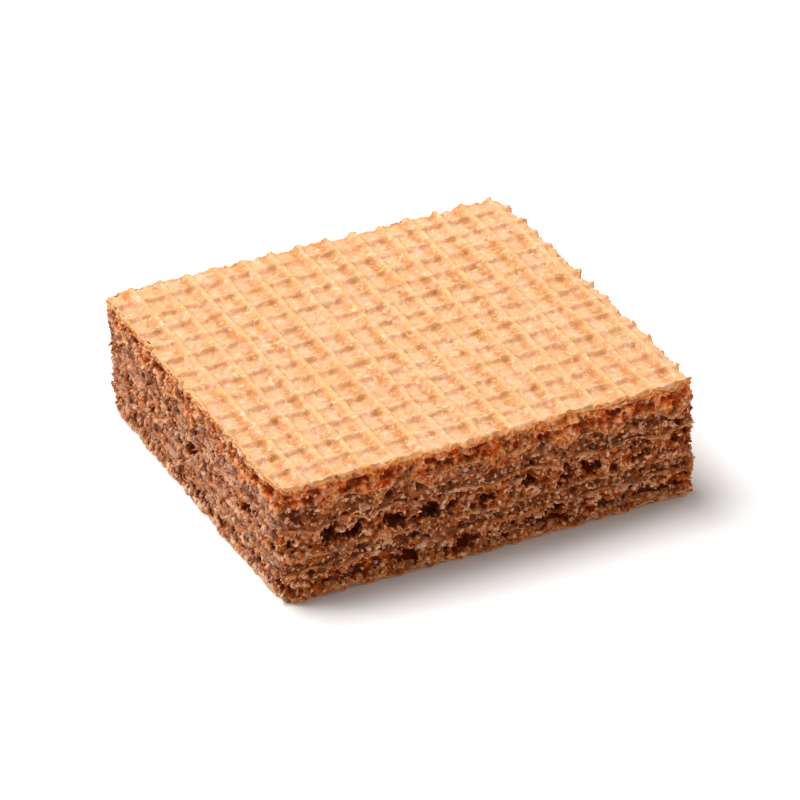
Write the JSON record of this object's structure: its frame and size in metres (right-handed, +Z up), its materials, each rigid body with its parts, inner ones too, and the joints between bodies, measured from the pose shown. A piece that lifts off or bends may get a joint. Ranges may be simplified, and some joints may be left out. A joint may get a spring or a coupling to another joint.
{
  "type": "uncoated cocoa cream wafer",
  "caption": "Square wafer biscuit: crisp sheets with a grid pressed into the outer faces and cocoa cream between them, cut on every side. Lies flat as prepared food.",
  "frame": {"origin": "centre of the square on the plane it lies on", "axes": "+Z up through the layers, +X and +Y along the cut sides, -Y towards the darker cut side that the picture shows"},
  "size_m": [0.0458, 0.0458, 0.0132],
  "materials": {
    "baked_wafer": "dry matt baked wafer, light brown skin with a pressed grid and a porous reddish brown inside",
    "cocoa_cream": "matt grainy cocoa cream, grey brown"
  },
  "bodies": {
    "root": {"bottom_sheet": "baked_wafer", "lower_cream": "cocoa_cream", "middle_sheet": "baked_wafer", "upper_cream": "cocoa_cream", "top_sheet": "baked_wafer"}
  },
  "joints": []
}
